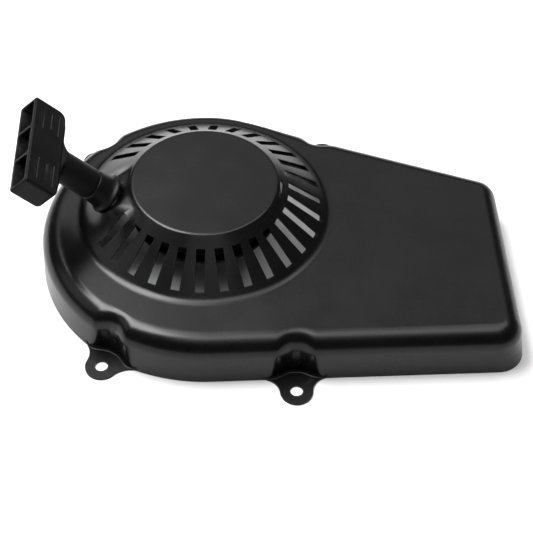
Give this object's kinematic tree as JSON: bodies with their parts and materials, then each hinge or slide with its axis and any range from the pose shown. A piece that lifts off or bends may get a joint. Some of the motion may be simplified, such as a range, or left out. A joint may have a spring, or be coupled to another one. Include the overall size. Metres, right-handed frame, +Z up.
{
  "type": "recoil starter",
  "caption": "Recoil starter in a satin black pressed steel blower housing: slotted cooling cone with plain disc, long tapering end, screw lugs and a T-shaped pull grip on a rope",
  "frame": {"origin": "on the crankshaft axis, in the plane of the mounting lugs' undersides", "axes": "+Z up along the crankshaft, away from the engine; +X from the crank axis towards the long end of the housing; +Y towards the slanted back wall"},
  "size_m": [0.2921, 0.2151, 0.0997],
  "materials": {
    "black_paint": "satin black enamel on pressed steel",
    "black_plastic": "moulded black nylon",
    "zinc_steel": "zinc plated steel",
    "spring_steel": "oiled spring steel",
    "nylon_white": "natural nylon",
    "rope": "braided nylon cord, black with a grey fleck",
    "bronze": "sintered bronze"
  },
  "bodies": {
    "housing": {"blower_housing": "black_paint", "spindle": "zinc_steel", "spring_case": "zinc_steel", "spring_cover": "zinc_steel", "case_rivets": "spring_steel", "recoil_spring": "spring_steel", "rope_guide": "black_plastic", "guide_eyelet": "zinc_steel", "guide_clip": "spring_steel", "brake_spring": "spring_steel", "screw_washer": "zinc_steel", "center_screw": "zinc_steel"},
    "winder": {"pulley": "black_plastic", "pulley_bushing": "bronze", "rope_winding": "rope", "rope_knot": "rope", "pawl_pins": "zinc_steel", "pawl_springs": "zinc_steel", "thrust_washer": "nylon_white"},
    "handle": {"grip": "black_plastic", "grip_insert": "zinc_steel", "grip_knot": "rope", "rope_strand": "rope"},
    "drag": {"friction_plate": "zinc_steel"},
    "pawl_f": {"pawl_front": "spring_steel"},
    "pawl_r": {"pawl_rear": "spring_steel"}
  },
  "joints": [
    {"name": "handle_pull", "type": "slide", "parent": "housing", "child": "handle", "axis": [-0.7254, 0, 0.6884], "range_m": [0, 0.95], "stiffness_N_per_m": 12, "springref_m": -1, "deforming": ["rope_strand"]},
    {"name": "pulley_spin", "type": "hinge", "parent": "housing", "child": "winder", "pos_m": [0, 0, 0.036], "axis": [0, 0, 1], "range_deg": [-1536, 0], "deforming": ["recoil_spring"]},
    {"name": "plate_turn", "type": "hinge", "parent": "winder", "child": "drag", "pos_m": [0, 0, 0.0228], "axis": [0, 0, 1], "range_deg": [0, 25]},
    {"name": "pawl_front_swing", "type": "hinge", "parent": "winder", "child": "pawl_f", "pos_m": [0.0205, 0, 0.027], "axis": [0, 0, 1], "range_deg": [0, 20]},
    {"name": "pawl_rear_swing", "type": "hinge", "parent": "winder", "child": "pawl_r", "pos_m": [-0.0205, 0, 0.027], "axis": [0, 0, 1], "range_deg": [0, 20]}
  ],
  "couplings": [
    {"joint": "pulley_spin", "follows": "handle_pull", "rad_per_m": -28.169},
    {"joint": "pawl_front_swing", "follows": "plate_turn", "ratio": 0.8},
    {"joint": "pawl_rear_swing", "follows": "plate_turn", "ratio": 0.8}
  ]
}
